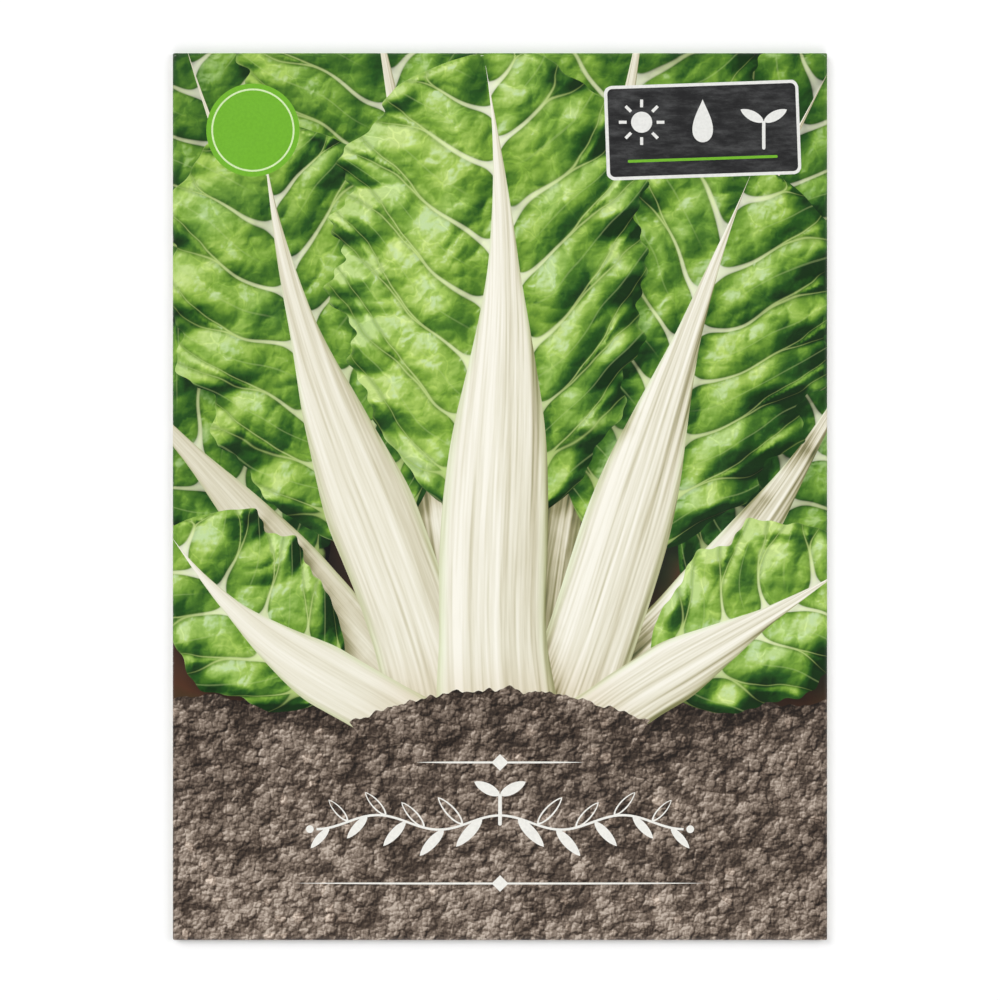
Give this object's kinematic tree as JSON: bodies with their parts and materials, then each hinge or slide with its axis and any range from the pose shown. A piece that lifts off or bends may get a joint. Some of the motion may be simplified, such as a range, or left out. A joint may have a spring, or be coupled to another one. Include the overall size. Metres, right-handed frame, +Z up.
{
  "type": "seed packet",
  "caption": "Flat folded paper seed packet with a printed leafy front, lapped and glued back, and a sealed sachet of seeds inside.",
  "frame": {"origin": "centre of the packet's outline, on the surface that it lies on", "axes": "+Z up out of the printed front, +Y towards the packet's top edge, +X to the right of the printed front"},
  "size_m": [0.118, 0.16, 0.0059],
  "materials": {
    "printed_paper": "coated paper, printed outside in greens, white and brown, satin gloss, plain white inside",
    "sachet_laminate": "silvery white paper and foil laminate with a heat-sealed border",
    "dried_glue": "thin dried dispersion glue, cream, slightly glossy",
    "seed_cork": "rough, dry, corky brown seed clusters"
  },
  "bodies": {
    "root": {"paper_packet": "printed_paper", "sachet_front_web": "sachet_laminate", "sachet_back_web": "sachet_laminate", "seam_glue": "dried_glue", "bottom_glue": "dried_glue", "top_glue": "dried_glue", "seed_01": "seed_cork", "seed_02": "seed_cork", "seed_03": "seed_cork", "seed_04": "seed_cork", "seed_05": "seed_cork", "seed_06": "seed_cork", "seed_07": "seed_cork", "seed_08": "seed_cork", "seed_09": "seed_cork", "seed_10": "seed_cork", "seed_11": "seed_cork", "seed_12": "seed_cork", "seed_13": "seed_cork", "seed_14": "seed_cork", "seed_15": "seed_cork", "seed_16": "seed_cork", "seed_17": "seed_cork", "seed_18": "seed_cork", "seed_19": "seed_cork", "seed_20": "seed_cork", "seed_21": "seed_cork", "seed_22": "seed_cork", "seed_23": "seed_cork", "seed_24": "seed_cork", "seed_25": "seed_cork", "seed_26": "seed_cork", "seed_27": "seed_cork", "seed_28": "seed_cork", "seed_29": "seed_cork", "seed_30": "seed_cork", "seed_31": "seed_cork", "seed_32": "seed_cork", "seed_33": "seed_cork", "seed_34": "seed_cork", "seed_35": "seed_cork", "seed_36": "seed_cork", "seed_37": "seed_cork", "seed_38": "seed_cork", "seed_39": "seed_cork", "seed_40": "seed_cork", "seed_41": "seed_cork", "seed_42": "seed_cork", "seed_43": "seed_cork", "seed_44": "seed_cork", "seed_45": "seed_cork", "seed_46": "seed_cork", "seed_47": "seed_cork", "seed_48": "seed_cork"}
  },
  "joints": []
}
